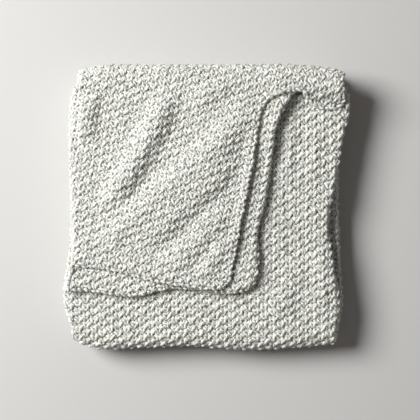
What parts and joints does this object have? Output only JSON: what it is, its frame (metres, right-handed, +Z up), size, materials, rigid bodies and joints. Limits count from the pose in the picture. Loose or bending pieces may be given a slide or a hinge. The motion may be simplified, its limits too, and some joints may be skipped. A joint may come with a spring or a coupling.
{
  "type": "folded chunky knit blanket",
  "caption": "Thick light grey marl knit throw, folded to a near square on a flat surface, its top flap pulled aside in soft diagonal ridges.",
  "frame": {"origin": "on the surface the blanket rests on, under the middle of the folded blanket", "axes": "+Z up; +X to the side with the free corner of the base, at the picture's right; +Y to the back edge, which the flap is folded over, at the picture's top"},
  "size_m": [0.458, 0.4572, 0.0948],
  "materials": {
    "grey_marl_yarn": "matt chunky seed-stitch knit of a plied marl yarn, off-white and light grey"
  },
  "bodies": {
    "root": {"blanket": "grey_marl_yarn"}
  },
  "joints": []
}
